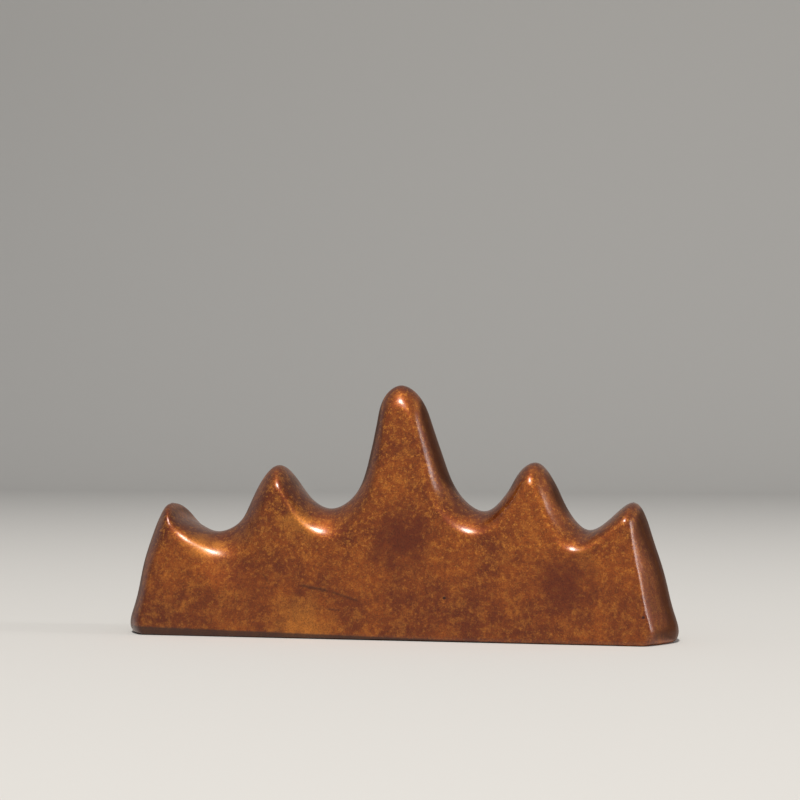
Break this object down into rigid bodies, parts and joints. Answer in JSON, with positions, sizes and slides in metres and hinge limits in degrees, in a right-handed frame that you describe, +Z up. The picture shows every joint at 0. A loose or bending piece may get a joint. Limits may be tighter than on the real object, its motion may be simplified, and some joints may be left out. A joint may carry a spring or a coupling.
{
  "type": "brush rest",
  "caption": "Solid cast desk rest for writing brushes: a mountain ridge with rounded peaks, open valleys that hold the handles, slanted ends and a flat foot.",
  "frame": {"origin": "middle of the flat foot, on the table", "axes": "+X along the ridge from the left outer peak to the right outer peak, +Y towards the back face, +Z up"},
  "size_m": [0.1193, 0.0236, 0.0537],
  "materials": {
    "patinated_copper": "hand-rubbed brown patina, waxed to a satin gloss"
  },
  "bodies": {
    "root": {"mountain_casting": "patinated_copper"}
  },
  "joints": []
}
